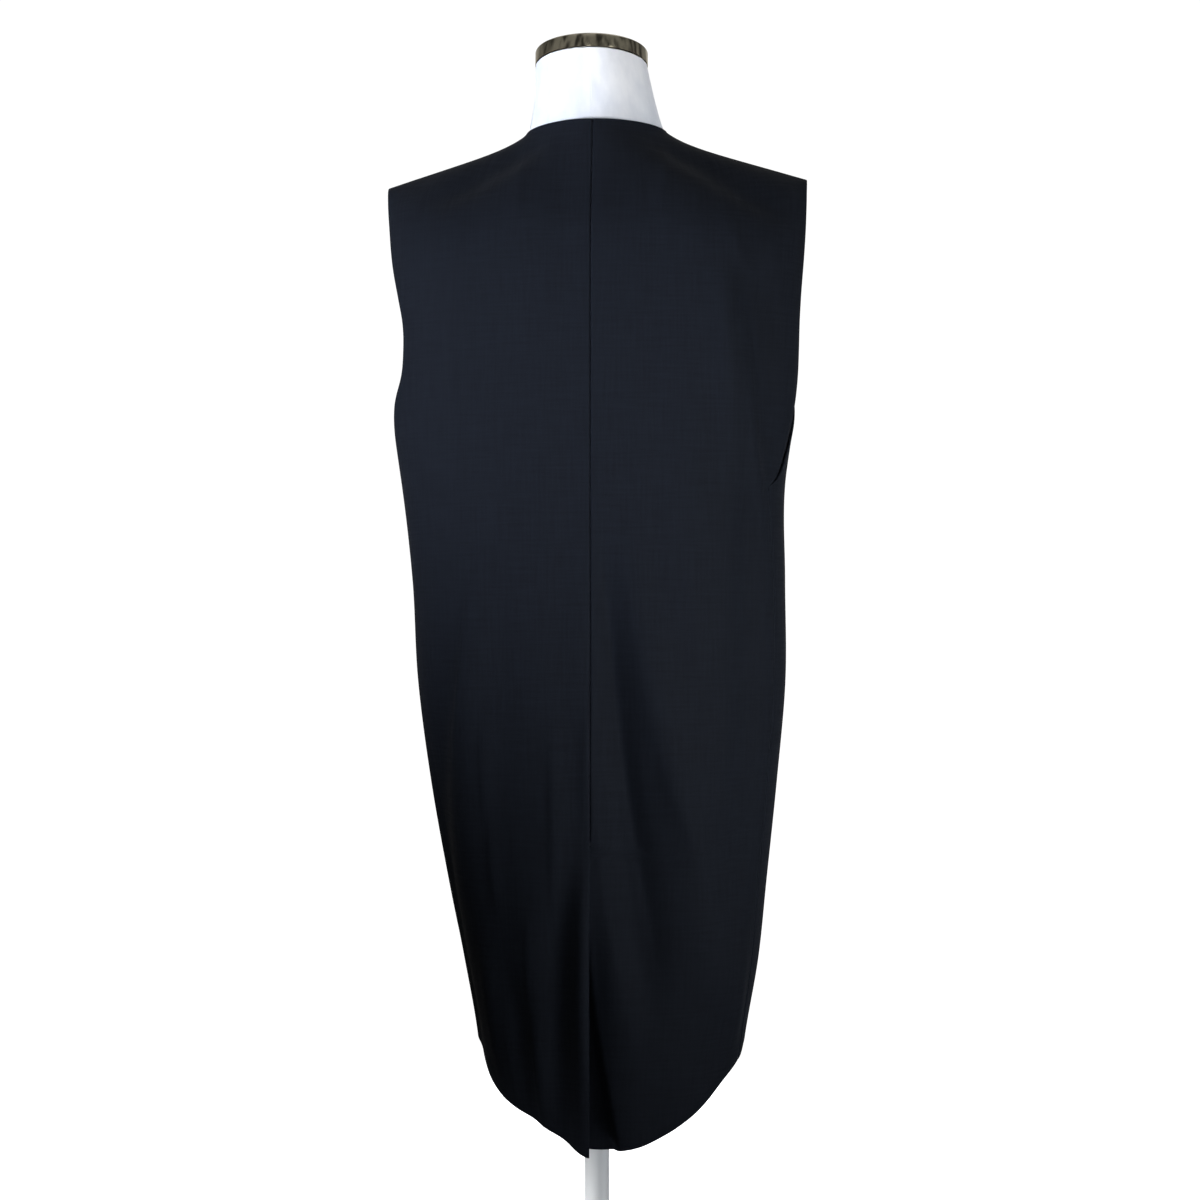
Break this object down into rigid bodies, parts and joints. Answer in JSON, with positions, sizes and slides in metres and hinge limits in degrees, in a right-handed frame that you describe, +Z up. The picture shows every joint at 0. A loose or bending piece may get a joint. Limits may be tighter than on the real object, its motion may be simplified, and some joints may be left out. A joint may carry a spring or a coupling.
{
  "type": "waistcoat on dress form",
  "caption": "Long collarless sleeveless waistcoat in black wool twill with a curved hem and a centre-back vent, worn on a white jersey dress form with a pole stand.",
  "frame": {"origin": "on the floor, at the centre of the stand base's underside", "axes": "+Z up along the pole, +Y towards the front of the garment, +X towards the wearer's right, so the back faces -Y"},
  "size_m": [0.4247, 0.34, 1.5451],
  "materials": {
    "wool_twill": "matt",
    "button_horn": "satin",
    "jersey_cover": "matt",
    "polished_cap": "polished",
    "enamelled_steel": "satin"
  },
  "bodies": {
    "root": {"back_left": "wool_twill", "back_right": "wool_twill", "front_left": "wool_twill", "front_right": "wool_twill", "button_1": "button_horn", "button_2": "button_horn", "button_3": "button_horn", "button_4": "button_horn", "form_body": "jersey_cover", "neck_cap": "polished_cap", "stand_collar": "enamelled_steel", "stand_pole": "enamelled_steel", "stand_base": "enamelled_steel"}
  },
  "joints": []
}
